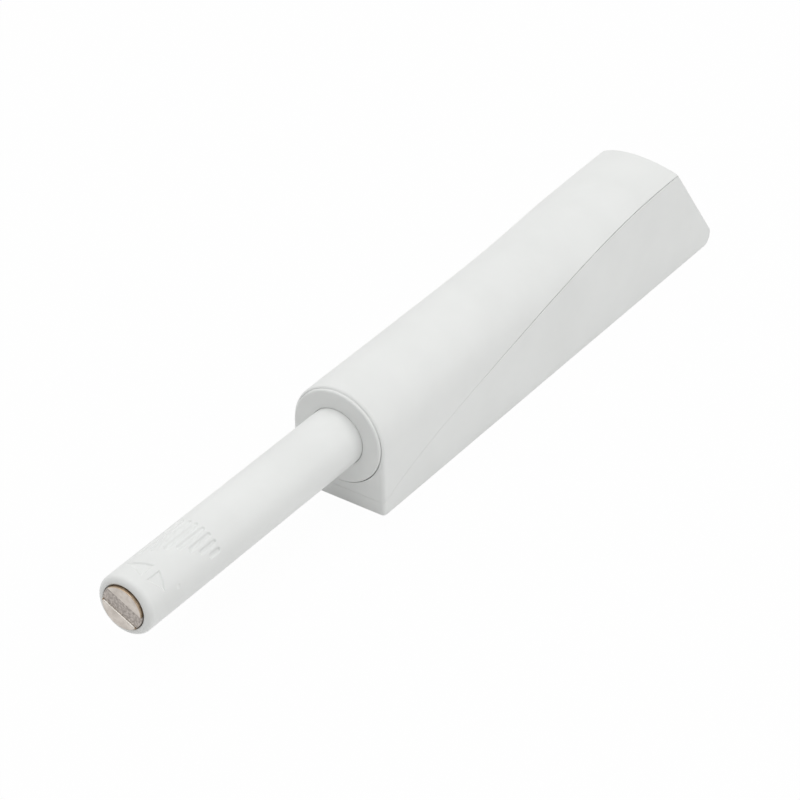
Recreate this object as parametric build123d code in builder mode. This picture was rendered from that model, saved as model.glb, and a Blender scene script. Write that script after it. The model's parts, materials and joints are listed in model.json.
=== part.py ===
from build123d import *
from math import asin, cos, degrees, radians, sin, sqrt, tan
import os

# A push-to-open catch that is screwed flat inside a cabinet. A spring pushes a magnet-tipped plunger
# out of a latch tube, and a cam track holds it in until the door is pressed again.
#
# Frame: the mounting base's underside is Z = 0, the plunger's axis runs along Y with its tip
# towards -Y, and the origin lies midway between the two fixing screws. Lengths that start at the
# housing's front face are turned into Y by behind(), and heights from the axis are added to it.

# Fixing screws
SCREW_SPACING = 32.0
FRONT_SCREW_SETBACK = 22.0
SCREW_HOLE_RADIUS = 2.0
SCREW_HEAD_RADIUS = 3.7
SCREW_HEAD_ANGLE = 90.0
FRONT_FACE_Y = -(SCREW_SPACING / 2 + FRONT_SCREW_SETBACK)

# Housing: an arch at the front that grows into a squarer, crowned box with a sloping rear end
ARCH_RADIUS = 6.92
AXIS_HEIGHT = 9.56
HOUSING_HEIGHT = AXIS_HEIGHT + ARCH_RADIUS
SIDE_DRAFT = 1.1
FRONT_DRAFT = 0.4
REAR_SLOPE = 34.0
WALL = 1.3
FLOOR = 2.0
FRONT_WALL = 1.9
REAR_WALL = 1.8
REAR_CLEARANCE = 0.6
FRONT_EDGE_RADIUS = 0.5
REAR_EDGE_RADIUS = 0.3
REAR_FOOT_RADIUS = 1.7
ARCH_END = 27.0
ARCH_SHAPE = (ARCH_RADIUS * cos(radians(SIDE_DRAFT)), ARCH_RADIUS * (1 - sin(radians(SIDE_DRAFT))))
FOOT_HALF_WIDTH = ARCH_RADIUS / cos(radians(SIDE_DRAFT)) + AXIS_HEIGHT * tan(radians(SIDE_DRAFT))
# Where the crown meets the sides behind the arch: distance behind the front face, narrowing of
# the half width, and drop below the housing's top
SHOULDERS = [
    (35.0, 0.06, 5.5),
    (42.0, 0.20, 4.3),
    (49.0, 0.38, 3.3),
    (60.0, 0.67, 2.3),
    (72.0, 0.75, 1.95),
]
# The seam between cover and base follows the shoulders, and in front of them it drops to the face:
# distance behind the front face and height above the base's underside
FRONT_SEAM = [(-2.0, 1.0), (0.0, 1.9), (6.0, 4.2), (19.0, 7.6)]
SEAM_GAP = 0.12
FRONT_SEAM_GAP = 0.04
OVERRUN = 4.0

# Saddles that hold the tube, and what joins the cover to the base
FRONT_SADDLE_SETBACK = 30.0
SADDLE_THICKNESS = 1.2
REAR_SADDLE_MARGIN = 0.9
TONGUE_MARGIN = 1.0
TONGUE_LENGTH = 7.0
TONGUE_THICKNESS = 0.7
TONGUE_REACH = 1.55
TONGUE_ROOT = 0.5
BEAD_RADIUS = 0.3
BEAD_CLEARANCE = 0.05
BEAD_RISE = 0.6
FRONT_TAB_HALF_WIDTH = 3.0
FRONT_TAB_THICKNESS = 1.0
FRONT_TAB_RISE = 1.7

# Latch tube
TUBE_RADIUS = 5.0
TUBE_LENGTH = 68.6
FLANGE_RADIUS = 6.6
FLANGE_THICKNESS = 0.85
FLANGE_PROUD = 0.33
FLANGE_RIM_RADIUS = 0.3
MOUTH_RADIUS = 0.06
RECESS_CLEARANCE = 0.08
RECESS_DROP = 0.05
TUBE_SEAT_CLEARANCE = 0.05

# Plunger: the stroke to the latched position and the overtravel that frees it again
PLUNGER_RADIUS = 4.0
RUNNING_CLEARANCE = 0.05
EXPOSED_LENGTH = 42.2
STROKE = 37.0
OVERTRAVEL = 1.5
TRAVEL = STROKE + OVERTRAVEL
STOP_CLEARANCE = 0.2
END_CLEARANCE = 0.5

# Plunger core
TAIL_LENGTH = 13.0
STEM_RADIUS = 2.95
STEM_LENGTH = 38.0
SPRING_BORE_RADIUS = 2.3
SPRING_BORE_LENGTH = 22.0
KEY_HALF_WIDTH = 1.7
KEY_LENGTH = 2.0
KEY_SLOT_CLEARANCE = 0.1
KEY_DEPTH = 0.6

# Track follower: a bent wire that hangs from the core's tail and runs in the cam track
WIRE_RADIUS = 0.4
WIRE_BEND_RADIUS = 0.7
PIVOT_SETBACK = 3.2
PIVOT_CLEARANCE = 0.05
PIVOT_RISE = 2.6
ARM_LENGTH = 8.5
ARM_DROP = 4.45
FOLLOWER_REACH = 6.5
LANE_OFFSET = 1.15
FOLLOWER_SWING = degrees(asin(LANE_OFFSET / ARM_LENGTH))
LEAF_THICKNESS = 0.25
LEAF_HALF_WIDTH = 1.2
LEAF_LENGTH = 8.8
LEAF_CLEARANCE = 0.1
LEAF_TUCK = 0.8

# Cam track
TRACK_HALF_WIDTH = 3.6
TRACK_BOTTOM = 2.2
TRACK_LAND_HEIGHT = 5.6
TRACK_OVERHANG = 4.0
LANE_CLEARANCE = 0.2
TRACK_DEPTH_CLEARANCE = 0.15
REST_POCKET_LENGTH = 2.6
NOTCH_CLEARANCE = 0.1

# Screw adjustment of the plunger's length: the sleeve turns on the core's stem
THREAD_CLEARANCE = 0.08
ADJUST_OUT = 3.0
ADJUST_IN = 1.0
SLEEVE_END_CLEARANCE = 1.0
SLEEVE_BORE_SPARE = 1.0
DETENT_SETBACK = 1.3
DETENT_THICKNESS = 1.0
DETENT_RADIUS = 3.5
DETENT_CLEARANCE = 0.1
DETENT_TAB_HALF_WIDTH = 0.4
DETENT_TAB_DEPTH = 0.2
KEYWAY_DEPTH = 0.4

# Magnet stack in the plunger's tip: a magnet between two steel pole plates
POCKET_RADIUS = 3.0
POCKET_DEPTH = 7.0
STACK_RADIUS = 2.9
STACK_TURN = 26.0
MAGNET_THICKNESS = 2.1
MAGNET_PROUD = 0.15
POLES_PROUD = 0.4
POLE_EDGE = 0.1
STACK_GAP = 0.02
PAD_THICKNESS = 0.7
TIP_EDGE_RADIUS = 1.0
POCKET_EDGE = 0.12

# Marks sunk into the sleeve near its tip: grip grooves that shorten step by step, and a turn arrow
MARK_DEPTH = 0.2
GROOVE_COUNT = 8
GROOVE_HALF_WIDTH = 0.27
GROOVE_PITCH = 15.3
LAST_GROOVE_ANGLE = 66.5
GROOVE_END_SETBACK = 13.6
SHORTEST_GROOVE = 1.9
GROOVE_STEP = 1.05
ARROW_SETBACK = 3.35
ARROW_HALF_WIDTH = 1.1
HEAD_LENGTH = 2.35
HEAD_ANGLE = 47.0
TAIL_ARROW_LENGTH = 2.9
TAIL_ARROW_ANGLE = -4.0
GATE_MARK_RADIUS = 0.25
GATE_MARK_ANGLE = 73.0
GATE_MARK_SETBACK = 5.6

# End plug, spring and its guide pin, retaining ring
PLUG_LENGTH = 2.6
PLUG_CAP_THICKNESS = 0.8
PLUG_CLEARANCE = 0.04
PIN_RADIUS = 1.3
PIN_CLEARANCE = 0.02
PIN_TIP_CLEARANCE = 0.6
SPRING_RADIUS = 1.85
SPRING_WIRE_RADIUS = 0.25
SPRING_TURNS = 23
SPRING_END_CLEARANCE = 0.02
RING_RADIUS = 5.5
RING_THICKNESS = 0.8
RING_GROOVE_DEPTH = 0.3
RING_CLEARANCE = 0.05
RING_OPENING = 70.0

PART_REACH = 60.0


def behind(distance):
    """Y of a place that lies a distance behind the housing's front face."""
    return FRONT_FACE_Y + distance


def cross_plane(y, height=AXIS_HEIGHT):
    """A plane across the catch, seen from the front, with its own +Y upwards."""
    return Plane(origin=(0, y, height), x_dir=(1, 0, 0), z_dir=(0, -1, 0))


def radial_plane(y, angle):
    """A plane that faces away from the axis, at an angle from straight up towards +X."""
    outward = (sin(radians(angle)), 0, cos(radians(angle)))
    return Plane(origin=(0, y, AXIS_HEIGHT), x_dir=(0, 1, 0), z_dir=outward)


def turned(radius, start, end, mode=Mode.ADD, height=AXIS_HEIGHT):
    """A round length on the plunger's axis, or at another height."""
    with BuildSketch(cross_plane(start, height)) as section:
        Circle(radius)
    extrude(section.sketch, amount=start - end, mode=mode)


def block(half_width, start, end, bottom, top, mode=Mode.ADD):
    """A rectangular block astride the axis, with heights above the base's underside."""
    with Locations((0, (start + end) / 2, (bottom + top) / 2)):
        Box(2 * half_width, end - start, top - bottom, mode=mode)


os.makedirs("parts", exist_ok=True)

# Places that several pieces share
tip_y = behind(-EXPOSED_LENGTH)
tube_end_y = behind(TUBE_LENGTH)
cap_y = tube_end_y + PLUG_CAP_THICKNESS
plug_y = tube_end_y - PLUG_LENGTH
tail_end_y = plug_y - END_CLEARANCE - TRAVEL
core_y = tail_end_y - TAIL_LENGTH
sleeve_end_y = core_y - ADJUST_IN - SLEEVE_END_CLEARANCE
key_end_y = core_y + KEY_LENGTH
pivot_y = core_y + PIVOT_SETBACK
follower_y = pivot_y + ARM_LENGTH * cos(radians(FOLLOWER_SWING))
follower_end_y = follower_y + TRAVEL
lane_half_width = WIRE_RADIUS + LANE_CLEARANCE
bore_radius = PLUNGER_RADIUS + RUNNING_CLEARANCE
slot_half_width = KEY_HALF_WIDTH + KEY_SLOT_CLEARANCE
slot_start_y = core_y - STOP_CLEARANCE
slot_end_y = follower_end_y + WIRE_RADIUS + END_CLEARANCE
spring_seat_y = core_y - SPRING_BORE_LENGTH
flange_y = behind(-FLANGE_PROUD)
front_inside_y = behind(FRONT_WALL)
tube_seat_radius = TUBE_RADIUS + TUBE_SEAT_CLEARANCE
rear_saddle_y = tube_end_y - REAR_SADDLE_MARGIN - SADDLE_THICKNESS

# The sloping rear wall clears the top of the end plug's cap, and that sets the underside's rear end
plug_top_z = AXIS_HEIGHT + TUBE_RADIUS
rear_thickness = REAR_WALL + REAR_CLEARANCE
foot_end_y = cap_y + plug_top_z * tan(radians(REAR_SLOPE)) + rear_thickness / cos(radians(REAR_SLOPE))
loft_end_y = foot_end_y + OVERRUN


# ---------------------------------------------------------------------------------------------
# Housing
# ---------------------------------------------------------------------------------------------
def housing_stations():
    """Each cross-section behind the arch: Y, half width at the shoulder, drop below the top."""
    box = [(behind(distance), ARCH_RADIUS - narrowing, drop) for distance, narrowing, drop in SHOULDERS]
    _, rear_half_width, rear_drop = box[-1]
    return [
        (behind(ARCH_END), *ARCH_SHAPE),
        *box,
        (loft_end_y, rear_half_width, rear_drop),
    ]


def housing_section(station_y, half_width, drop, inset=0.0, floor=0.0):
    """The housing's cross-section, or its cavity's where inset by the wall."""
    crown_radius = (half_width**2 + drop**2) / (2 * drop)
    crown_centre = HOUSING_HEIGHT - crown_radius
    shoulder_x = half_width - inset
    shoulder_z = crown_centre + sqrt(max((crown_radius - inset) ** 2 - shoulder_x**2, 0.0))
    foot_x = FOOT_HALF_WIDTH - inset
    foot_x -= (foot_x - shoulder_x) * floor / shoulder_z
    with BuildSketch(cross_plane(station_y, 0)) as section:
        with BuildLine():
            Line((-foot_x, floor), (foot_x, floor))
            Line((foot_x, floor), (shoulder_x, shoulder_z))
            ThreePointArc((shoulder_x, shoulder_z), (0, HOUSING_HEIGHT - inset), (-shoulder_x, shoulder_z))
            Line((-shoulder_x, shoulder_z), (-foot_x, floor))
        make_face()
    return section.sketch


def face_y(height):
    """Y of the slightly drafted front face, whose place is taken at the axis's height."""
    return FRONT_FACE_Y + (height - AXIS_HEIGHT) * tan(radians(FRONT_DRAFT))


def rear_y(height, inset=0.0):
    """Y of the sloping rear end, or of its inner face."""
    slope = radians(REAR_SLOPE)
    return foot_end_y - height * tan(slope) - inset / cos(slope)


def seam_region(side, limit):
    """The part of the side view above (side = 1) or below (side = -1) the seam's gap, up to a limit."""
    front_shift = side * FRONT_SEAM_GAP / 2
    shift = side * SEAM_GAP / 2
    points = [(behind(distance), height + front_shift) for distance, height in FRONT_SEAM]
    points += [(behind(distance), HOUSING_HEIGHT - drop + shift) for distance, _, drop in SHOULDERS]
    points.append((loft_end_y, HOUSING_HEIGHT - SHOULDERS[-1][2] + shift))
    with BuildSketch(Plane.YZ) as region:
        with BuildLine():
            Spline(*points)
            Polyline(points[-1], (points[-1][0], limit), (points[0][0], limit), points[0])
        make_face()
    return region.sketch


beyond = HOUSING_HEIGHT + OVERRUN
side_corners = [(face_y(0), 0), (rear_y(0), 0), (rear_y(beyond), beyond), (face_y(beyond), beyond)]

with BuildPart() as housing_form:
    extrude(housing_section(behind(ARCH_END), *ARCH_SHAPE), amount=ARCH_END + OVERRUN)
    loft([housing_section(*station) for station in housing_stations()])
    with BuildSketch(Plane.YZ):
        with BuildLine():
            Polyline(*side_corners, close=True)
        make_face()
    extrude(amount=PART_REACH, both=True, mode=Mode.INTERSECT)
    flat_faces = faces().filter_by(GeomType.PLANE).sort_by(Axis.Y)
    fillet(flat_faces[0].edges().sort_by(Axis.Z)[1:], FRONT_EDGE_RADIUS)
    flat_faces = faces().filter_by(GeomType.PLANE).sort_by(Axis.Y)
    fillet(flat_faces[-1].edges().sort_by(Axis.Z)[1:], REAR_EDGE_RADIUS)
    # The rear foot is rounded after the rear edges, which leaves the underside's other edges sharp
    with BuildSketch(Plane.YZ):
        with BuildLine():
            Polyline(*side_corners, close=True)
        make_face()
        fillet(vertices().group_by(Axis.Y)[0].sort_by(Axis.X)[-1], REAR_FOOT_RADIUS)
    extrude(amount=PART_REACH, both=True, mode=Mode.INTERSECT)

with BuildPart() as cavity:
    extrude(housing_section(behind(ARCH_END), *ARCH_SHAPE, WALL, FLOOR), amount=ARCH_END)
    loft([housing_section(*station, WALL, FLOOR) for station in housing_stations()])
    with BuildSketch(Plane.YZ):
        with BuildLine():
            Polyline(
                (front_inside_y, 0),
                (rear_y(0, REAR_WALL), 0),
                (rear_y(beyond, REAR_WALL), beyond),
                (front_inside_y, beyond),
                close=True,
            )
        make_face()
    extrude(amount=PART_REACH, both=True, mode=Mode.INTERSECT)


with BuildPart() as saddles:
    for saddle_y in (behind(FRONT_SADDLE_SETBACK), rear_saddle_y):
        block(PART_REACH, saddle_y, saddle_y + SADDLE_THICKNESS, 0, HOUSING_HEIGHT)
    add(cavity.part, mode=Mode.INTERSECT)
    turned(tube_seat_radius, behind(0), tube_end_y, mode=Mode.SUBTRACT)
    block(
        TRACK_HALF_WIDTH + TUBE_SEAT_CLEARANCE,
        behind(0),
        tube_end_y,
        FLOOR,
        TRACK_LAND_HEIGHT + TUBE_SEAT_CLEARANCE,
        mode=Mode.SUBTRACT,
    )

with BuildPart() as housing_shell:
    add(housing_form.part)
    add(cavity.part, mode=Mode.SUBTRACT)
    add(saddles.part)
    turned(tube_seat_radius, behind(-OVERRUN), behind(FRONT_WALL + OVERRUN), mode=Mode.SUBTRACT)
    turned(
        FLANGE_RADIUS + RECESS_CLEARANCE,
        behind(-OVERRUN),
        flange_y + FLANGE_THICKNESS,
        mode=Mode.SUBTRACT,
        height=AXIS_HEIGHT - RECESS_DROP,
    )

tongue_middle_y = rear_saddle_y - TONGUE_MARGIN - TONGUE_LENGTH / 2
tongue_seam_z = HOUSING_HEIGHT - SHOULDERS[-2][2]
tongue_outside_x = ARCH_RADIUS - SHOULDERS[-1][1] - WALL - BEAD_CLEARANCE
tongue_x = tongue_outside_x - TONGUE_THICKNESS / 2
bead_z = tongue_seam_z - TONGUE_REACH + BEAD_RISE
bead_places = [(side * tongue_outside_x, tongue_middle_y, bead_z) for side in (-1, 1)]
tongue_middle_z = tongue_seam_z + (TONGUE_ROOT - TONGUE_REACH) / 2
tongue_places = [(side * tongue_x, tongue_middle_y, tongue_middle_z) for side in (-1, 1)]

with BuildPart() as tongues:
    with Locations(*tongue_places):
        Box(TONGUE_THICKNESS, TONGUE_LENGTH, TONGUE_REACH + TONGUE_ROOT)
    with Locations(*bead_places):
        Cylinder(BEAD_RADIUS, TONGUE_LENGTH, rotation=(90, 0, 0))

with BuildPart() as housing_cover:
    add(housing_shell.part)
    above_seam = seam_region(1, HOUSING_HEIGHT + OVERRUN)
    extrude(above_seam, amount=PART_REACH, both=True, mode=Mode.INTERSECT)
    add(tongues.part)

with BuildPart() as mounting_base:
    add(housing_shell.part)
    below_seam = seam_region(-1, -OVERRUN)
    extrude(below_seam, amount=PART_REACH, both=True, mode=Mode.INTERSECT)
    block(
        FRONT_TAB_HALF_WIDTH,
        front_inside_y + SEAM_GAP,
        front_inside_y + SEAM_GAP + FRONT_TAB_THICKNESS,
        FLOOR,
        FLOOR + FRONT_TAB_RISE,
    )
    with Locations(*tongue_places):
        Box(
            TONGUE_THICKNESS + 2 * BEAD_CLEARANCE,
            TONGUE_LENGTH + 2 * BEAD_CLEARANCE,
            TONGUE_REACH + TONGUE_ROOT + 2 * BEAD_CLEARANCE,
            mode=Mode.SUBTRACT,
        )
    with Locations(*bead_places):
        Cylinder(
            BEAD_RADIUS + BEAD_CLEARANCE,
            TONGUE_LENGTH + 2 * BEAD_CLEARANCE,
            rotation=(90, 0, 0),
            mode=Mode.SUBTRACT,
        )
    with Locations((0, -SCREW_SPACING / 2, FLOOR), (0, SCREW_SPACING / 2, FLOOR)):
        CounterSinkHole(SCREW_HOLE_RADIUS, SCREW_HEAD_RADIUS, counter_sink_angle=SCREW_HEAD_ANGLE)

housing_cover.part.label = "housing_cover"
export_step(housing_cover.part, "parts/housing_cover.step")
mounting_base.part.label = "mounting_base"
export_step(mounting_base.part, "parts/mounting_base.step")

# ---------------------------------------------------------------------------------------------
# Latch tube, its end plug, and the ring that keeps it from being pulled out
# ---------------------------------------------------------------------------------------------
ring_y = front_inside_y + RING_CLEARANCE
ring_seat_radius = TUBE_RADIUS - RING_GROOVE_DEPTH

with BuildPart() as latch_tube:
    turned(FLANGE_RADIUS, flange_y, flange_y + FLANGE_THICKNESS)
    fillet(edges().filter_by(GeomType.CIRCLE).sort_by(Axis.Y)[0], FLANGE_RIM_RADIUS)
    turned(TUBE_RADIUS, flange_y, tube_end_y)
    turned(bore_radius, flange_y, tube_end_y, mode=Mode.SUBTRACT)
    mouth = edges().filter_by(GeomType.CIRCLE).group_by(Axis.Y)[0].sort_by(SortBy.RADIUS)[0]
    fillet(mouth, MOUTH_RADIUS)
    block(slot_half_width, slot_start_y, slot_end_y, 0, AXIS_HEIGHT, mode=Mode.SUBTRACT)
    turned(TUBE_RADIUS, ring_y, ring_y + RING_THICKNESS + RING_CLEARANCE, mode=Mode.SUBTRACT)
    turned(ring_seat_radius, ring_y, ring_y + RING_THICKNESS + RING_CLEARANCE)
    turned(bore_radius, ring_y, ring_y + RING_THICKNESS + RING_CLEARANCE, mode=Mode.SUBTRACT)

with BuildPart() as retaining_ring:
    turned(RING_RADIUS, ring_y, ring_y + RING_THICKNESS)
    turned(ring_seat_radius + RING_CLEARANCE, ring_y, ring_y + RING_THICKNESS, mode=Mode.SUBTRACT)
    with BuildSketch(cross_plane(ring_y)):
        with BuildLine():
            Polyline(
                (0, 0),
                (-PART_REACH * tan(radians(RING_OPENING / 2)), -PART_REACH),
                (PART_REACH * tan(radians(RING_OPENING / 2)), -PART_REACH),
                close=True,
            )
        make_face()
    extrude(amount=-RING_THICKNESS, mode=Mode.SUBTRACT)

with BuildPart() as end_plug:
    turned(bore_radius - PLUG_CLEARANCE, plug_y, tube_end_y)
    turned(TUBE_RADIUS, tube_end_y, cap_y)
    turned(PIN_RADIUS + PIN_CLEARANCE, plug_y, tube_end_y, mode=Mode.SUBTRACT)

with BuildPart() as spring_guide_pin:
    turned(PIN_RADIUS, spring_seat_y + TRAVEL + PIN_TIP_CLEARANCE, tube_end_y)
    chamfer(edges().filter_by(GeomType.CIRCLE).sort_by(Axis.Y)[0], PIN_RADIUS / 3)

latch_tube.part.label = "latch_tube"
export_step(latch_tube.part, "parts/latch_tube.step")
retaining_ring.part.label = "retaining_ring"
export_step(retaining_ring.part, "parts/retaining_ring.step")
end_plug.part.label = "end_plug"
export_step(end_plug.part, "parts/end_plug.step")
spring_guide_pin.part.label = "spring_guide_pin"
export_step(spring_guide_pin.part, "parts/spring_guide_pin.step")

# ---------------------------------------------------------------------------------------------
# Cam track under the tube
# ---------------------------------------------------------------------------------------------
track_floor_z = AXIS_HEIGHT - FOLLOWER_REACH - TRACK_DEPTH_CLEARANCE
pocket_half_width = LANE_OFFSET + lane_half_width
rest_pocket_y = follower_y - lane_half_width
latch_pocket_y = follower_y + STROKE - OVERTRAVEL
lane_end_y = follower_end_y + lane_half_width

with BuildPart() as cam_track:
    block(
        TRACK_HALF_WIDTH,
        rest_pocket_y - TRACK_OVERHANG,
        lane_end_y + TRACK_OVERHANG,
        TRACK_BOTTOM,
        TRACK_LAND_HEIGHT,
    )
    turned(tube_seat_radius, behind(0), cap_y, mode=Mode.SUBTRACT)
    with BuildSketch(Plane.XY.offset(track_floor_z)):
        with Locations(
            (-LANE_OFFSET, (rest_pocket_y + lane_end_y) / 2),
            (LANE_OFFSET, (rest_pocket_y + lane_end_y) / 2),
        ):
            Rectangle(2 * lane_half_width, lane_end_y - rest_pocket_y)
        with Locations((0, rest_pocket_y + REST_POCKET_LENGTH / 2)):
            Rectangle(2 * pocket_half_width, REST_POCKET_LENGTH)
        with Locations((0, (latch_pocket_y + lane_end_y) / 2)):
            Rectangle(2 * pocket_half_width, lane_end_y - latch_pocket_y)
        with Locations((0, latch_pocket_y)):
            Circle(WIRE_RADIUS + NOTCH_CLEARANCE)
    extrude(amount=AXIS_HEIGHT, mode=Mode.SUBTRACT)

cam_track.part.label = "cam_track"
export_step(cam_track.part, "parts/cam_track.step")

# ---------------------------------------------------------------------------------------------
# Plunger core, track follower and the leaf spring that presses the follower into the track
# ---------------------------------------------------------------------------------------------
key_bottom_z = AXIS_HEIGHT - PLUNGER_RADIUS - KEY_DEPTH
leaf_bottom_z = AXIS_HEIGHT - ARM_DROP + WIRE_RADIUS + LEAF_CLEARANCE
leaf_top_z = leaf_bottom_z + LEAF_THICKNESS
recess_z = leaf_top_z + LEAF_CLEARANCE
pivot_top_z = AXIS_HEIGHT - PIVOT_RISE
stem_front_y = core_y - STEM_LENGTH
detent_y = sleeve_end_y - DETENT_SETBACK - DETENT_THICKNESS
keyway_y = detent_y - ADJUST_OUT - DETENT_CLEARANCE
tab_radius = STEM_RADIUS - DETENT_TAB_DEPTH

with BuildPart() as plunger_core:
    turned(PLUNGER_RADIUS, core_y, tail_end_y)
    turned(STEM_RADIUS, stem_front_y, core_y)
    block(KEY_HALF_WIDTH, core_y, key_end_y, key_bottom_z, AXIS_HEIGHT)
    block(LEAF_HALF_WIDTH + LEAF_CLEARANCE, key_end_y, tail_end_y, 0, recess_z, mode=Mode.SUBTRACT)
    block(
        LEAF_HALF_WIDTH + LEAF_CLEARANCE,
        key_end_y - LEAF_TUCK - LEAF_CLEARANCE,
        key_end_y,
        leaf_bottom_z - PIVOT_CLEARANCE,
        leaf_top_z + PIVOT_CLEARANCE,
        mode=Mode.SUBTRACT,
    )
    turned(SPRING_BORE_RADIUS, spring_seat_y, tail_end_y, mode=Mode.SUBTRACT)
    with Locations((0, pivot_y, pivot_top_z)):
        Cylinder(
            WIRE_RADIUS + PIVOT_CLEARANCE,
            PIVOT_RISE,
            align=(Align.CENTER, Align.CENTER, Align.MAX),
            mode=Mode.SUBTRACT,
        )
    block(
        DETENT_TAB_HALF_WIDTH + DETENT_CLEARANCE,
        keyway_y,
        core_y,
        AXIS_HEIGHT + STEM_RADIUS - KEYWAY_DEPTH,
        AXIS_HEIGHT + PLUNGER_RADIUS,
        mode=Mode.SUBTRACT,
    )

wire_plane = Plane(
    origin=(0, pivot_y, AXIS_HEIGHT),
    x_dir=(-sin(radians(FOLLOWER_SWING)), cos(radians(FOLLOWER_SWING)), 0),
    z_dir=(cos(radians(FOLLOWER_SWING)), sin(radians(FOLLOWER_SWING)), 0),
)
with BuildPart() as track_follower:
    with BuildLine(wire_plane) as wire:
        FilletPolyline(
            (0, -PIVOT_RISE - PIVOT_CLEARANCE),
            (0, -ARM_DROP),
            (ARM_LENGTH, -ARM_DROP),
            (ARM_LENGTH, -FOLLOWER_REACH),
            radius=WIRE_BEND_RADIUS,
        )
    with BuildSketch(wire.line ^ 0):
        Circle(WIRE_RADIUS)
    sweep(path=wire.line)

with BuildPart() as follower_spring:
    block(
        LEAF_HALF_WIDTH,
        key_end_y - LEAF_TUCK,
        key_end_y - LEAF_TUCK + LEAF_LENGTH,
        leaf_bottom_z,
        leaf_top_z,
    )
    with Locations((0, pivot_y, leaf_bottom_z)):
        Cylinder(WIRE_RADIUS + LEAF_CLEARANCE, WIRE_BEND_RADIUS, mode=Mode.SUBTRACT)

plunger_core.part.label = "plunger_core"
export_step(plunger_core.part, "parts/plunger_core.step")
track_follower.part.label = "track_follower"
export_step(track_follower.part, "parts/track_follower.step")
follower_spring.part.label = "follower_spring"
export_step(follower_spring.part, "parts/follower_spring.step")

# ---------------------------------------------------------------------------------------------
# Main spring
# ---------------------------------------------------------------------------------------------
coil_start_y = spring_seat_y + SPRING_WIRE_RADIUS + SPRING_END_CLEARANCE
coil_end_y = plug_y - SPRING_WIRE_RADIUS - SPRING_END_CLEARANCE
coil_length = coil_end_y - coil_start_y

with BuildPart() as main_spring:
    with BuildLine() as coil:
        Helix(
            pitch=coil_length / SPRING_TURNS,
            height=coil_length,
            radius=SPRING_RADIUS,
            center=(0, coil_start_y, AXIS_HEIGHT),
            direction=(0, 1, 0),
        )
    with BuildSketch(coil.line ^ 0):
        Circle(SPRING_WIRE_RADIUS)
    sweep(path=coil.line, is_frenet=True)

main_spring.part.label = "main_spring"
export_step(main_spring.part, "parts/main_spring.step")

# ---------------------------------------------------------------------------------------------
# Screw adjustment: the sleeve that shows, and the detent ring keyed to the stem
# ---------------------------------------------------------------------------------------------
sleeve_bore_radius = STEM_RADIUS + THREAD_CLEARANCE
sleeve_bore_y = stem_front_y - ADJUST_IN - SLEEVE_BORE_SPARE
pocket_end_y = tip_y + POCKET_DEPTH
groove_end_y = tip_y + GROOVE_END_SETBACK
arrow_y = tip_y + ARROW_SETBACK
mark_plane_height = PLUNGER_RADIUS / 2

with BuildPart() as surface_marks:
    for index in range(GROOVE_COUNT):
        length = SHORTEST_GROOVE + index * GROOVE_STEP
        angle = LAST_GROOVE_ANGLE - index * GROOVE_PITCH
        with BuildSketch(radial_plane(groove_end_y - length / 2, angle).offset(mark_plane_height)):
            SlotOverall(length, 2 * GROOVE_HALF_WIDTH)
        extrude(amount=PLUNGER_RADIUS)
    with BuildSketch(radial_plane(arrow_y, HEAD_ANGLE).offset(mark_plane_height)):
        with BuildLine():
            Polyline(
                (-ARROW_HALF_WIDTH, HEAD_LENGTH / 2),
                (ARROW_HALF_WIDTH, HEAD_LENGTH / 2),
                (0, -HEAD_LENGTH / 2),
                close=True,
            )
        make_face()
    extrude(amount=PLUNGER_RADIUS)
    with BuildSketch(radial_plane(arrow_y, TAIL_ARROW_ANGLE).offset(mark_plane_height)):
        with BuildLine():
            Polyline(
                (-ARROW_HALF_WIDTH, -TAIL_ARROW_LENGTH / 2),
                (ARROW_HALF_WIDTH, -TAIL_ARROW_LENGTH / 2),
                (0, TAIL_ARROW_LENGTH / 2),
                close=True,
            )
        make_face()
    extrude(amount=PLUNGER_RADIUS)
    with BuildSketch(radial_plane(tip_y + GATE_MARK_SETBACK, GATE_MARK_ANGLE).offset(mark_plane_height)):
        Circle(GATE_MARK_RADIUS)
    extrude(amount=PLUNGER_RADIUS)
    turned(PLUNGER_RADIUS - MARK_DEPTH, tip_y, core_y, mode=Mode.SUBTRACT)

with BuildPart() as plunger_sleeve:
    turned(PLUNGER_RADIUS, tip_y, sleeve_end_y)
    fillet(edges().filter_by(GeomType.CIRCLE).sort_by(Axis.Y)[0], TIP_EDGE_RADIUS - 2 * POCKET_EDGE)
    add(surface_marks.part, mode=Mode.SUBTRACT)
    turned(POCKET_RADIUS, tip_y, pocket_end_y, mode=Mode.SUBTRACT)
    pocket_mouth = edges().filter_by(GeomType.CIRCLE).group_by(Axis.Y)[0].sort_by(SortBy.RADIUS)[0]
    chamfer(pocket_mouth, POCKET_EDGE)
    turned(sleeve_bore_radius, sleeve_bore_y, sleeve_end_y, mode=Mode.SUBTRACT)
    turned(
        DETENT_RADIUS + DETENT_CLEARANCE,
        detent_y - DETENT_CLEARANCE,
        detent_y + DETENT_THICKNESS + DETENT_CLEARANCE,
        mode=Mode.SUBTRACT,
    )

with BuildPart() as detent_ring:
    turned(DETENT_RADIUS, detent_y, detent_y + DETENT_THICKNESS)
    turned(sleeve_bore_radius, detent_y, detent_y + DETENT_THICKNESS, mode=Mode.SUBTRACT)
    block(
        DETENT_TAB_HALF_WIDTH,
        detent_y,
        detent_y + DETENT_THICKNESS,
        AXIS_HEIGHT + tab_radius,
        AXIS_HEIGHT + DETENT_RADIUS - DETENT_CLEARANCE,
    )

plunger_sleeve.part.label = "plunger_sleeve"
export_step(plunger_sleeve.part, "parts/plunger_sleeve.step")
detent_ring.part.label = "detent_ring"
export_step(detent_ring.part, "parts/detent_ring.step")

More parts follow.
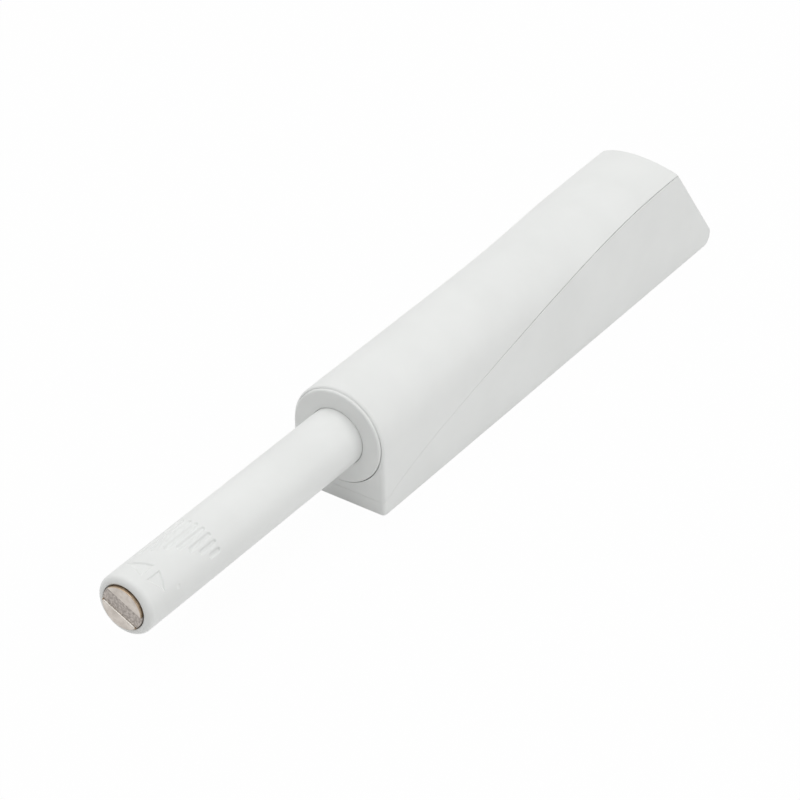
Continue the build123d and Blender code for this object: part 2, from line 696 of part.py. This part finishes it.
# ---------------------------------------------------------------------------------------------
# Magnet stack
# ---------------------------------------------------------------------------------------------
stack_plane = Plane(
    origin=(0, tip_y, AXIS_HEIGHT),
    x_dir=(cos(radians(STACK_TURN)), 0, -sin(radians(STACK_TURN))),
    z_dir=(0, -1, 0),
)
stack_depth = POCKET_DEPTH - PAD_THICKNESS


def stack_slice(low, high, proud):
    """A slice of the round magnet stack, between two heights across it, standing proud of the tip."""
    with BuildSketch(stack_plane.offset(proud)) as section:
        Circle(STACK_RADIUS)
        with Locations((0, (low + high) / 2)):
            Rectangle(2 * STACK_RADIUS, high - low, mode=Mode.INTERSECT)
    extrude(section.sketch, amount=-proud - stack_depth)


with BuildPart() as magnet:
    stack_slice(-MAGNET_THICKNESS / 2, MAGNET_THICKNESS / 2, MAGNET_PROUD)

with BuildPart() as pole_plate_upper:
    stack_slice(MAGNET_THICKNESS / 2 + STACK_GAP, STACK_RADIUS, POLES_PROUD)
    chamfer(faces().sort_by(Axis.Y)[0].edges(), POLE_EDGE)

with BuildPart() as pole_plate_lower:
    stack_slice(-STACK_RADIUS, -MAGNET_THICKNESS / 2 - STACK_GAP, POLES_PROUD)
    chamfer(faces().sort_by(Axis.Y)[0].edges(), POLE_EDGE)

with BuildPart() as magnet_pad:
    turned(STACK_RADIUS, tip_y + stack_depth, pocket_end_y)

magnet.part.label = "magnet"
export_step(magnet.part, "parts/magnet.step")
pole_plate_upper.part.label = "pole_plate_upper"
export_step(pole_plate_upper.part, "parts/pole_plate_upper.step")
pole_plate_lower.part.label = "pole_plate_lower"
export_step(pole_plate_lower.part, "parts/pole_plate_lower.step")
magnet_pad.part.label = "magnet_pad"
export_step(magnet_pad.part, "parts/magnet_pad.step")
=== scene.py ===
"""The looks of a push-to-open catch: white moulded plastic and a nickelled magnet tip."""

import json
import math

import bmesh
import bpy
import numpy
from mathutils import Matrix, Vector


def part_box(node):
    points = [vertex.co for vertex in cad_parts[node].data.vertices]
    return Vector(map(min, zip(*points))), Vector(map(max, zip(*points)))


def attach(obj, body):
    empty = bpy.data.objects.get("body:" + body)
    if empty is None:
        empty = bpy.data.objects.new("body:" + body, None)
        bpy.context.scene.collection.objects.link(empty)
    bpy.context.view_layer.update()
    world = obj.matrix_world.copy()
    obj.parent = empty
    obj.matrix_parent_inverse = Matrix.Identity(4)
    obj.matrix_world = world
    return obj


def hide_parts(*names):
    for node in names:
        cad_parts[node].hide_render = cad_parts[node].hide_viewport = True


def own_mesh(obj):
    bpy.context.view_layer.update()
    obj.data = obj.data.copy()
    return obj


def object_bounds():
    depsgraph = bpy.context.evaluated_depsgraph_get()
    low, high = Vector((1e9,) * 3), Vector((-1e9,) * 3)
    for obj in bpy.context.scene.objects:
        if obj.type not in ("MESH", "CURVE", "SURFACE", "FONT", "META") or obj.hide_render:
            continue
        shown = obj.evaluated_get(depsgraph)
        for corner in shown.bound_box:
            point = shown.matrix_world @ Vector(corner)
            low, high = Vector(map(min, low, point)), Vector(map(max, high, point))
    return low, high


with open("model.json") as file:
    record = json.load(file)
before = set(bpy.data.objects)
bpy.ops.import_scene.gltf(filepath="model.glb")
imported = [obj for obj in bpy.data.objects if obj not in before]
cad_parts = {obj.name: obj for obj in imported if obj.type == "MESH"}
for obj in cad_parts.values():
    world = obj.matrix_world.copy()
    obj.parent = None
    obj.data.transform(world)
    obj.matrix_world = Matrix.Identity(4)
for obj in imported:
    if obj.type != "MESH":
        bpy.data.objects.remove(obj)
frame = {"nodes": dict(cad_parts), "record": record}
cad_low, cad_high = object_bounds()

# Lengths are in metres and angles in degrees, unless said otherwise
MM = 0.001

# Camera: its direction, distance and lens, and its aim from the middle of the flange's front face
CAMERA_AZIMUTH = 35.351
CAMERA_ELEVATION = 34.253
CAMERA_ROLL = -0.446
CAMERA_DISTANCE = 383.19 * MM
CAMERA_AIM = Vector((4.957, 6.856, 3.605)) * MM
CAMERA_LENS = 137.9
CAMERA_CLIP_START = 0.01

# Studio: the floor, the world, and square lamps with their power in watts
FLOOR_SIZE = 2.0
FLOOR_COLOUR = (0.8, 0.8, 0.8)
FLOOR_ROUGHNESS = 0.9
FLOOR_WHITE = 0.97
WORLD_WHITE = 1.0
WORLD_STRENGTH = 0.385
WORLD_COLOUR = (0.99, 0.99, 0.98)
LAMP_DISTANCE = 1.0
LAMPS = {
    "overhead": {"azimuth": 0.0, "elevation": 85.0, "size": 1.2, "power": 6.6},
    "right": {"azimuth": 110.0, "elevation": 25.0, "size": 0.8, "power": 2.4},
    "left": {"azimuth": -100.0, "elevation": 30.0, "size": 0.8, "power": 1.75},
}

# Tints: the darkest and the palest colour of each surface
WHITE_PLASTIC = ((0.785, 0.795, 0.785), (0.82, 0.83, 0.82))
GREY_ACETAL = ((0.55, 0.56, 0.55), (0.62, 0.63, 0.62))
CREAM_ACETAL = ((0.50, 0.48, 0.42), (0.58, 0.56, 0.50))
SPRING_STEEL = ((0.42, 0.42, 0.43), (0.58, 0.58, 0.59))
BRIGHT_STEEL = ((0.52, 0.52, 0.52), (0.68, 0.68, 0.68))
NICKEL_FACE = ((0.50, 0.455, 0.415), (0.68, 0.63, 0.58))
# Painted highlight: the pale tint on the pole plates' edges stands in for the lamps' reflection there
PAINTED_HIGHLIGHT_NICKEL = ((0.80, 0.77, 0.72), (0.98, 0.96, 0.92))
TARNISHED_NICKEL = ((0.24, 0.17, 0.11), (0.48, 0.38, 0.28))
PRESSED_MAGNET = ((0.33, 0.295, 0.27), (0.60, 0.55, 0.51))
BLACK_RUBBER = ((0.012, 0.012, 0.013), (0.04, 0.04, 0.042))

# Noise: the values between which a tint and a roughness go from one end to the other
TINT_SPAN = (0.3, 0.7)
ROUGHNESS_SPAN = (0.25, 0.75)

# Pieces: points nearer than this are joined
WELD_DISTANCE = 0.0001 * MM

# Sleeve: its rounded tip, the magnet's pocket, the bore that turns on the core's stem, and the steps
# round and along it where no mark is sunk
TIP_ROUNDING = 0.85 * MM
TIP_STEPS = 10
POCKET_RADIUS = 3.0 * MM
POCKET_EDGE = 0.1 * MM
BORE_RADIUS = 3.03 * MM
BORE_SPARE = 2.0 * MM
DETENT_CLEARANCE = 0.1 * MM
REAR_EDGE = 0.15 * MM
REAR_EDGE_MIDDLE = 0.3 * REAR_EDGE
PLAIN_TURN = 3.0
PLAIN_STEP = 2.0 * MM

# Marks sunk into the sleeve, all in mm and degrees. A place on the sleeve is a distance behind the tip
# and an angle from straight up towards +X
MARKS_START = 1.6
MARKS_END = 14.4
MARKS_LEFT = -55.0
MARKS_RIGHT = 85.0
MARKS_PITCH = 0.06
GROOVE_DEPTH = 0.24
GROOVE_EDGE = 0.32
GROOVE_COUNT = 8
GROOVE_HALF_WIDTH = 0.27
GROOVE_PITCH = 15.3
LAST_GROOVE_ANGLE = 66.5
GROOVE_END = 13.6
SHORTEST_GROOVE = 1.9
GROOVE_STEP = 1.05
ARROW_DEPTH = 0.2
ARROW_EDGE = 0.24
ARROW_HEAD = [(4.43, 30.5), (2.23, 30.5), (3.4, 63.0)]
ARROW_TAIL = [(3.15, -25.0), (4.45, 17.0), (2.25, 17.0)]
GATE_MARK = (5.6, 73.0)
GATE_MARK_RADIUS = 0.25
GATE_MARK_DEPTH = 0.05

# Magnet stack in the sleeve's tip: a magnet between two pole plates
STACK_RADIUS = 2.9 * MM
STACK_TURN = 26.0
STACK_GAP = 0.02 * MM
MAGNET_HALF = 1.05 * MM
MAGNET_EDGE = 0.06 * MM
PLATE_EDGE = 0.16 * MM
EDGE_STEPS = 4
ARC_STEPS = 36

# Pole plates: the distances from the axis between which the rim becomes tarnished, and the Y of the
# surface's normal where an edge's painted highlight begins and where it is full
TARNISHED_RIM = (2.62 * MM, 2.74 * MM)
EDGE_FACING = (-0.93, -0.6)

# Main spring: a fixed coil of wire at the CAD spring's length; the real spring shortens as the plunger goes
# in
WIRE_RADIUS = 0.25 * MM
WIRE_SIDES = 10
SPRING_TURNS = 23
STEPS_PER_TURN = 24


# ---------------------------------------------------------------------------------------------
# Materials
# ---------------------------------------------------------------------------------------------
def new_material(name):
    """A node material, with its node tree, its Principled shader and object coordinates."""
    material = bpy.data.materials.new(name)
    material.use_nodes = True
    tree = material.node_tree
    shader = next(node for node in tree.nodes if node.type == "BSDF_PRINCIPLED")
    coordinates = tree.nodes.new("ShaderNodeTexCoord").outputs["Object"]
    return material, tree, shader, coordinates


def noise(tree, coordinates, size, detail=3.0, stretch=(1.0, 1.0, 1.0)):
    """Noise whose spots are about a size across, drawn out along an axis by stretch."""
    mapping = tree.nodes.new("ShaderNodeMapping")
    mapping.inputs["Scale"].default_value = [1 / (size * factor) for factor in stretch]
    tree.links.new(coordinates, mapping.inputs["Vector"])
    texture = tree.nodes.new("ShaderNodeTexNoise")
    texture.inputs["Scale"].default_value = 1.0
    texture.inputs["Detail"].default_value = detail
    tree.links.new(mapping.outputs["Vector"], texture.inputs["Vector"])
    return texture.outputs["Fac"]


def tinted(tree, factor, tint):
    """A colour that goes from a tint's darkest to its palest with a noise."""
    ramp = tree.nodes.new("ShaderNodeValToRGB")
    for element, position, colour in zip(ramp.color_ramp.elements, TINT_SPAN, tint):
        element.position = position
        element.color = (*colour, 1.0)
    tree.links.new(factor, ramp.inputs["Fac"])
    return ramp.outputs["Color"]


def ramped(tree, value, start, end, low=0.0, high=1.0):
    """A value that runs from low to high as another goes from start to end."""
    node = tree.nodes.new("ShaderNodeMapRange")
    node.inputs["From Min"].default_value = start
    node.inputs["From Max"].default_value = end
    node.inputs["To Min"].default_value = low
    node.inputs["To Max"].default_value = high
    tree.links.new(value, node.inputs["Value"])
    return node.outputs["Result"]


def mixed(tree, factor, low, high):
    """A colour that goes from one colour output to another with the factor."""
    node = tree.nodes.new("ShaderNodeMix")
    node.data_type = "RGBA"
    colour_inputs = [socket for socket in node.inputs if socket.type == "RGBA"]
    tree.links.new(factor, node.inputs["Factor"])
    tree.links.new(low, colour_inputs[0])
    tree.links.new(high, colour_inputs[1])
    return next(socket for socket in node.outputs if socket.type == "RGBA")


def bump(tree, height, depth, normal=None):
    """A bump of a real depth, over an earlier bump's normal."""
    node = tree.nodes.new("ShaderNodeBump")
    node.inputs["Strength"].default_value = 1.0
    node.inputs["Distance"].default_value = depth
    tree.links.new(height, node.inputs["Height"])
    if normal is not None:
        tree.links.new(normal, node.inputs["Normal"])
    return node.outputs["Normal"]


def feed(tree, shader, colour, gloss, roughness, normal):
    """Give a shader a colour, a normal, and a roughness that goes between two values with a noise."""
    tree.links.new(colour, shader.inputs["Base Color"])
    tree.links.new(ramped(tree, gloss, *ROUGHNESS_SPAN, *roughness), shader.inputs["Roughness"])
    tree.links.new(normal, shader.inputs["Normal"])


def moulded_plastic(name, tint, roughness, grain_depth):
    """Satin moulded plastic: faint cloudiness, an eroded-mould grain and uneven gloss."""
    material, tree, shader, coordinates = new_material(name)
    clouds = noise(tree, coordinates, size=9 * MM)
    grain = noise(tree, coordinates, size=0.16 * MM, detail=2.0)
    flow = noise(tree, coordinates, size=2.5 * MM, detail=4.0, stretch=(1.0, 6.0, 1.0))
    waviness = bump(tree, flow, depth=0.012 * MM)
    normal = bump(tree, grain, grain_depth, waviness)
    feed(tree, shader, tinted(tree, clouds, tint), flow, roughness, normal)
    shader.inputs["IOR"].default_value = 1.49
    shader.inputs["Specular IOR Level"].default_value = 0.4
    return material


def nickel_plate(name, axis_z):
    """Nickelled steel plates round an axis along Y: warm faces, edges painted pale as a highlight for the
    lamps' reflection, and a tarnished rim.
    """
    material, tree, shader, coordinates = new_material(name)
    clouds = noise(tree, coordinates, size=0.9 * MM, detail=4.0)
    scratches = noise(tree, coordinates, size=0.12 * MM, stretch=(9.0, 1.0, 1.0))
    face, painted_highlight, tarnished = (
        tinted(tree, clouds, tint) for tint in (NICKEL_FACE, PAINTED_HIGHLIGHT_NICKEL, TARNISHED_NICKEL)
    )

    from_axis = tree.nodes.new("ShaderNodeMapping")
    from_axis.inputs["Location"].default_value = (0.0, 0.0, -axis_z)
    from_axis.inputs["Scale"].default_value = (1.0, 0.0, 1.0)
    tree.links.new(coordinates, from_axis.inputs["Vector"])
    distance = tree.nodes.new("ShaderNodeVectorMath")
    distance.operation = "LENGTH"
    tree.links.new(from_axis.outputs["Vector"], distance.inputs[0])
    at_rim = ramped(tree, distance.outputs["Value"], *TARNISHED_RIM)

    facing = tree.nodes.new("ShaderNodeSeparateXYZ")
    tree.links.new(tree.nodes.new("ShaderNodeNewGeometry").outputs["Normal"], facing.inputs["Vector"])
    # Painted highlight: edges whose normals turn from the front get a pale tint for the lamps' reflection,
    # and the rim gets its tarnished colour
    at_edge = ramped(tree, facing.outputs["Y"], *EDGE_FACING)
    colour = mixed(tree, at_edge, face, mixed(tree, at_rim, painted_highlight, tarnished))
    feed(tree, shader, colour, scratches, (0.26, 0.48), bump(tree, scratches, depth=0.01 * MM))
    shader.inputs["Metallic"].default_value = 1.0
    return material


def magnet_grain(name):
    """Sintered magnet: dull grey-brown with a fine pressed grain."""
    material, tree, shader, coordinates = new_material(name)
    grains = noise(tree, coordinates, size=0.3 * MM, detail=6.0)
    normal = bump(tree, grains, depth=0.012 * MM)
    feed(tree, shader, tinted(tree, grains, PRESSED_MAGNET), grains, (0.7, 0.4), normal)
    shader.inputs["Metallic"].default_value = 0.6
    return material


def drawn_steel(name, tint):
    """Drawn spring wire and turned pins: bright steel with lines along its length."""
    material, tree, shader, coordinates = new_material(name)
    lines = noise(tree, coordinates, size=0.08 * MM, stretch=(1.0, 8.0, 1.0))
    clouds = noise(tree, coordinates, size=1.5 * MM)
    normal = bump(tree, lines, depth=0.006 * MM)
    feed(tree, shader, tinted(tree, clouds, tint), lines, (0.22, 0.42), normal)
    shader.inputs["Metallic"].default_value = 1.0
    return material


def rubber(name):
    """Black rubber with a dry, pitted skin."""
    material, tree, shader, coordinates = new_material(name)
    pits = noise(tree, coordinates, size=0.2 * MM, detail=5.0)
    normal = bump(tree, pits, depth=0.03 * MM)
    feed(tree, shader, tinted(tree, pits, BLACK_RUBBER), pits, (0.65, 0.85), normal)
    return material


sleeve_axis_z = sum(corner.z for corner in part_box("plunger_sleeve")) / 2

materials = {
    "housing_plastic": moulded_plastic("housing_plastic", WHITE_PLASTIC, (0.42, 0.55), 0.006 * MM),
    "tube_plastic": moulded_plastic("tube_plastic", WHITE_PLASTIC, (0.34, 0.46), 0.004 * MM),
    "plunger_plastic": moulded_plastic("plunger_plastic", WHITE_PLASTIC, (0.36, 0.50), 0.005 * MM),
    "core_plastic": moulded_plastic("core_plastic", GREY_ACETAL, (0.32, 0.44), 0.004 * MM),
    "track_plastic": moulded_plastic("track_plastic", CREAM_ACETAL, (0.32, 0.44), 0.004 * MM),
    "spring_steel": drawn_steel("spring_steel", SPRING_STEEL),
    "bright_steel": drawn_steel("bright_steel", BRIGHT_STEEL),
    "nickel_steel": nickel_plate("nickel_steel", sleeve_axis_z),
    "magnet_ferrite": magnet_grain("magnet_ferrite"),
    "pad_rubber": rubber("pad_rubber"),
}


def dress_nodes():
    """Give every CAD node the material of its record slot."""
    slots = {part["node"]: part["material_slot"] for part in frame["record"]["subparts"]}
    for name, node in frame["nodes"].items():
        node.data.materials.clear()
        node.data.materials.append(materials[slots[name]])


# ---------------------------------------------------------------------------------------------
# Pieces that stand for CAD nodes: the marked sleeve, the magnet stack and the main spring
# ---------------------------------------------------------------------------------------------
def place_piece(name, rings, body, slot_name):
    """A piece made of rings with equal counts of points, joined in order and closed at both ends."""
    count = len(rings[0])
    points = [tuple(point) for ring in rings for point in ring]
    faces = []
    for first in range(0, (len(rings) - 1) * count, count):
        for index in range(count):
            following = (index + 1) % count
            faces.append((first + following, first + index, first + count + index, first + count + following))
    for ring in (0, len(rings) - 1):
        first = ring * count
        middle = sum((Vector(point) for point in rings[ring]), Vector()) / count
        points.append(tuple(middle))
        for index in range(count):
            faces.append((first + index, first + (index + 1) % count, len(points) - 1))
    mesh = bpy.data.meshes.new(name)
    mesh.from_pydata(points, [], faces)
    shell = bmesh.new()
    shell.from_mesh(mesh)
    bmesh.ops.remove_doubles(shell, verts=shell.verts, dist=WELD_DISTANCE)
    bmesh.ops.recalc_face_normals(shell, faces=shell.faces)
    shell.to_mesh(mesh)
    shell.free()
    mesh.materials.append(materials[slot_name])
    mesh.shade_smooth()
    piece = bpy.data.objects.new(name, mesh)
    bpy.context.scene.collection.objects.link(piece)
    piece.modifiers.new("even_normals", "WEIGHTED_NORMAL")
    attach(piece, body)
    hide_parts(name.removesuffix("_detailed"))
    return piece


def steps(start, end, pitch):
    """Even steps of at most a pitch, from start up to, but not including, end."""
    count = max(1, math.ceil((end - start) / pitch))
    return [start + (end - start) * index / count for index in range(count)]


def slot_distance(along, across, angle, length, radius):
    """How far places lie outside a groove with round ends."""
    nearest = numpy.clip(along, GROOVE_END - length + GROOVE_HALF_WIDTH, GROOVE_END - GROOVE_HALF_WIDTH)
    return numpy.hypot(along - nearest, across - math.radians(angle) * radius) - GROOVE_HALF_WIDTH


def triangle_distance(along, across, corners, radius):
    """How far places lie outside a triangle."""
    places = [Vector((distance, math.radians(angle) * radius)) for distance, angle in corners]
    middle = sum(places, Vector((0.0, 0.0))) / len(places)
    sides = []
    for start, end in zip(places, places[1:] + places[:1]):
        outward = (end - start).orthogonal().normalized()
        if outward.dot(start - middle) < 0:
            outward.negate()
        sides.append((along - start.x) * outward.x + (across - start.y) * outward.y)
    return numpy.maximum.reduce(sides)


def eased_depth(outside, edge, depth):
    """A depth that is reached smoothly across a mark's edge."""
    share = numpy.clip(0.5 - outside / edge, 0, 1)
    return depth * share * share * (3 - 2 * share)


def mark_depths(distances, angles, radius):
    """How deep the sleeve's surface is sunk at each distance behind the tip and each angle, in mm."""
    along, across = numpy.meshgrid(distances, numpy.radians(angles) * radius, indexing="ij")
    sunk = []
    for index in range(GROOVE_COUNT):
        angle = LAST_GROOVE_ANGLE - index * GROOVE_PITCH
        length = SHORTEST_GROOVE + index * GROOVE_STEP
        outside = slot_distance(along, across, angle, length, radius)
        sunk.append(eased_depth(outside, GROOVE_EDGE, GROOVE_DEPTH))
    for corners in (ARROW_HEAD, ARROW_TAIL):
        outside = triangle_distance(along, across, corners, radius)
        sunk.append(eased_depth(outside, ARROW_EDGE, ARROW_DEPTH))
    gate_along, gate_angle = GATE_MARK
    from_gate = numpy.hypot(along - gate_along, across - math.radians(gate_angle) * radius)
    sunk.append(eased_depth(from_gate - GATE_MARK_RADIUS, ARROW_EDGE, GATE_MARK_DEPTH))
    return numpy.maximum.reduce(sunk)


def make_sleeve():
    """The sleeve: a rounded tip round the magnet's pocket, sunk marks, and the bore behind."""
    low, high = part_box("plunger_sleeve")
    detent_low, detent_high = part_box("detent_ring")
    stack_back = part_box("magnet_pad")[1].y - low.y
    stem_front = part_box("plunger_core")[0].y - low.y
    radius, length = (high.x - low.x) / 2, high.y - low.y
    detent_radius = (detent_high.x - detent_low.x) / 2 + DETENT_CLEARANCE
    detent_start = detent_low.y - low.y - DETENT_CLEARANCE
    detent_end = detent_high.y - low.y + DETENT_CLEARANCE
    angles = steps(MARKS_LEFT, MARKS_RIGHT, math.degrees(MARKS_PITCH * MM / radius))
    angles += steps(MARKS_RIGHT, MARKS_LEFT + 360, PLAIN_TURN)
    marked = steps(MARKS_START, MARKS_END, MARKS_PITCH)
    depths = mark_depths(marked, angles, radius / MM)

    ahead = [(stack_back, POCKET_RADIUS), (POCKET_EDGE, POCKET_RADIUS), (0.0, POCKET_RADIUS + POCKET_EDGE)]
    ahead += [
        (TIP_ROUNDING * (1 - math.cos(turn)), radius - TIP_ROUNDING * (1 - math.sin(turn)))
        for turn in [math.pi / 2 * index / TIP_STEPS for index in range(TIP_STEPS + 1)]
    ]
    behind = [(along, radius) for along in steps(MARKS_END * MM, length - REAR_EDGE, PLAIN_STEP)]
    behind += [
        (length - REAR_EDGE, radius),
        (length - REAR_EDGE_MIDDLE, radius - REAR_EDGE_MIDDLE),
        (length, radius - REAR_EDGE),
        (length, BORE_RADIUS + REAR_EDGE),
        (length - REAR_EDGE, BORE_RADIUS),
        (detent_end, BORE_RADIUS),
        (detent_end, detent_radius),
        (detent_start, detent_radius),
        (detent_start, BORE_RADIUS),
        (stem_front - BORE_SPARE, BORE_RADIUS),
    ]
    rings = [(along, [ring_radius] * len(angles)) for along, ring_radius in ahead]
    rings += [(along * MM, radius - depths[index] * MM) for index, along in enumerate(marked)]
    rings += [(along, [ring_radius] * len(angles)) for along, ring_radius in behind]
    circles = [
        [
            (ring_radius * math.sin(math.radians(angle)), low.y + along,
             sleeve_axis_z + ring_radius * math.cos(math.radians(angle)))
            for angle, ring_radius in zip(angles, radii)
        ]
        for along, radii in rings
    ]
    place_piece("plunger_sleeve_detailed", circles, "sleeve", "plunger_plastic")


def slice_outline(radius, low, high):
    """Points round a slice of a circle between two heights, as (across, height)."""
    first, last = math.asin(low / radius), math.asin(min(high / radius, 1.0))
    right = [first + (last - first) * index / ARC_STEPS for index in range(ARC_STEPS + 1)]
    points = [(radius * math.cos(turn), radius * math.sin(turn)) for turn in right]
    return points + [(-across, height) for across, height in reversed(points)]


def make_stack_piece(node, low, high, edge, slot_name):
    """One slice of the magnet stack, with a rounded front edge."""
    front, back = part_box(node)[0].y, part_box(node)[1].y
    turn = math.radians(STACK_TURN)
    side = 1 if high > 0 else -1
    low, high = (low, high) if side > 0 else (-high, -low)
    insets = [(edge, front)]
    insets += [
        (edge * (1 - math.sin(step)), front + edge * (1 - math.cos(step)))
        for step in [math.pi / 2 * index / EDGE_STEPS for index in range(1, EDGE_STEPS + 1)]
    ]
    insets.append((0.0, back))
    rings = []
    for inset, place_y in insets:
        ring = slice_outline(STACK_RADIUS - inset, low + inset, high - inset)
        ring = [(side * across, side * height) for across, height in ring]
        rings.append([
            (across * math.cos(turn) + height * math.sin(turn), place_y,
             sleeve_axis_z - across * math.sin(turn) + height * math.cos(turn))
            for across, height in ring
        ])
    place_piece(node + "_detailed", rings, "sleeve", slot_name)


def make_spring():
    """The main spring: a coil of wire at the CAD spring's length, fixed to the housing."""
    low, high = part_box("main_spring")
    coil_axis_z = (low.z + high.z) / 2
    coil_radius = (high.x - low.x) / 2 - WIRE_RADIUS
    start, end = low.y + WIRE_RADIUS, high.y - WIRE_RADIUS
    count = SPRING_TURNS * STEPS_PER_TURN
    climb = (end - start) / (math.tau * SPRING_TURNS)
    sides = [math.tau * side / WIRE_SIDES for side in range(WIRE_SIDES)]
    rings = []
    for index in range(count + 1):
        turn = math.tau * index / STEPS_PER_TURN
        outward = Vector((math.cos(turn), 0.0, math.sin(turn)))
        along = Vector((-coil_radius * math.sin(turn), climb, coil_radius * math.cos(turn))).normalized()
        across = along.cross(outward)
        centre = Vector((0.0, start + (end - start) * index / count, coil_axis_z)) + outward * coil_radius
        rings.append([
            centre + (outward * math.cos(side) + across * math.sin(side)) * WIRE_RADIUS for side in sides
        ])
    spring = place_piece("main_spring_detailed", rings, "housing", "spring_steel")
    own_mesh(spring)


# ---------------------------------------------------------------------------------------------
# Studio: floor, world, lamps and camera
# ---------------------------------------------------------------------------------------------
def show_white(tree, share, plain, white, output_type):
    """Show a share of white over a plain shader where the camera sees it, itself or in a reflection."""
    light_path = tree.nodes.new("ShaderNodeLightPath")
    seen = tree.nodes.new("ShaderNodeMath")
    seen.operation = "MAXIMUM"
    tree.links.new(light_path.outputs["Is Camera Ray"], seen.inputs[0])
    tree.links.new(light_path.outputs["Is Glossy Ray"], seen.inputs[1])
    part_seen = tree.nodes.new("ShaderNodeMath")
    part_seen.operation = "MULTIPLY"
    part_seen.inputs[1].default_value = share
    tree.links.new(seen.outputs["Value"], part_seen.inputs[0])
    mix = tree.nodes.new("ShaderNodeMixShader")
    tree.links.new(part_seen.outputs["Value"], mix.inputs["Fac"])
    tree.links.new(plain, mix.inputs[1])
    tree.links.new(white, mix.inputs[2])
    output = next(node for node in tree.nodes if node.type == output_type)
    tree.links.new(mix.outputs["Shader"], output.inputs["Surface"])


def make_floor():
    """A floor under the catch that shows nearly white and keeps a little of its shadow."""
    material, tree, shader, _ = new_material("studio_floor")
    shader.inputs["Base Color"].default_value = (*FLOOR_COLOUR, 1.0)
    shader.inputs["Roughness"].default_value = FLOOR_ROUGHNESS
    white = tree.nodes.new("ShaderNodeEmission")
    show_white(tree, FLOOR_WHITE, shader.outputs["BSDF"], white.outputs["Emission"], "OUTPUT_MATERIAL")
    mesh = bpy.data.meshes.new("studio_floor")
    reach = FLOOR_SIZE / 2
    corners = [(-reach, -reach, 0), (reach, -reach, 0), (reach, reach, 0), (-reach, reach, 0)]
    mesh.from_pydata(corners, [], [(0, 1, 2, 3)])
    mesh.materials.append(material)
    floor = bpy.data.objects.new("studio_floor", mesh)
    floor.location.z = cad_low.z
    bpy.context.scene.collection.objects.link(floor)


def make_world():
    """White where it is seen, and a soft even light on the object."""
    world = bpy.data.worlds.new("studio")
    world.use_nodes = True
    bpy.context.scene.world = world
    tree = world.node_tree
    light = next(node for node in tree.nodes if node.type == "BACKGROUND")
    light.inputs["Color"].default_value = (*WORLD_COLOUR, 1.0)
    light.inputs["Strength"].default_value = WORLD_STRENGTH
    white = tree.nodes.new("ShaderNodeBackground")
    white.inputs["Color"].default_value = (1.0, 1.0, 1.0, 1.0)
    show_white(tree, WORLD_WHITE, light.outputs["Background"], white.outputs["Background"], "OUTPUT_WORLD")


def direction(azimuth, elevation):
    """From the object towards a viewer; azimuth 0 stands at -Y and 90 at +X."""
    around, above = math.radians(azimuth), math.radians(elevation)
    return Vector((
        math.sin(around) * math.cos(above),
        -math.cos(around) * math.cos(above),
        math.sin(above),
    ))


def make_lamp(name, aim, azimuth, elevation, size, power):
    """A square area lamp that faces the aim from a compass direction and a height."""
    lamp = bpy.data.lights.new(name, "AREA")
    lamp.size = size
    lamp.energy = power
    back = direction(azimuth, elevation)
    holder = bpy.data.objects.new(name, lamp)
    holder.location = aim + back * LAMP_DISTANCE
    holder.rotation_euler = (-back).to_track_quat("-Z", "Y").to_euler()
    bpy.context.scene.collection.objects.link(holder)


def make_camera():
    """The camera at the photograph's angle."""
    tube_low, tube_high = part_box("latch_tube")
    flange_centre = Vector(((tube_low.x + tube_high.x) / 2, tube_low.y, (tube_low.z + tube_high.z) / 2))
    lens = bpy.data.cameras.new("camera")
    lens.lens = CAMERA_LENS
    lens.clip_start = CAMERA_CLIP_START
    camera = bpy.data.objects.new("camera", lens)
    back = direction(CAMERA_AZIMUTH, CAMERA_ELEVATION)
    turn = (-back).to_track_quat("-Z", "Y").to_matrix().to_4x4()
    roll = Matrix.Rotation(math.radians(CAMERA_ROLL), 4, "Z")
    place = Matrix.Translation(flange_centre + CAMERA_AIM + back * CAMERA_DISTANCE)
    camera.matrix_world = place @ turn @ roll
    bpy.context.scene.collection.objects.link(camera)
    bpy.context.scene.camera = camera


dress_nodes()
make_sleeve()
make_stack_piece("magnet", -MAGNET_HALF, MAGNET_HALF, MAGNET_EDGE, "magnet_ferrite")
make_stack_piece("pole_plate_upper", MAGNET_HALF + STACK_GAP, STACK_RADIUS, PLATE_EDGE, "nickel_steel")
make_stack_piece("pole_plate_lower", -STACK_RADIUS, -MAGNET_HALF - STACK_GAP, PLATE_EDGE, "nickel_steel")
make_spring()
make_floor()
make_world()
for lamp_name, lamp_settings in LAMPS.items():
    make_lamp(lamp_name, (cad_low + cad_high) / 2, **lamp_settings)
make_camera()
bpy.context.scene.view_settings.view_transform = "Standard"
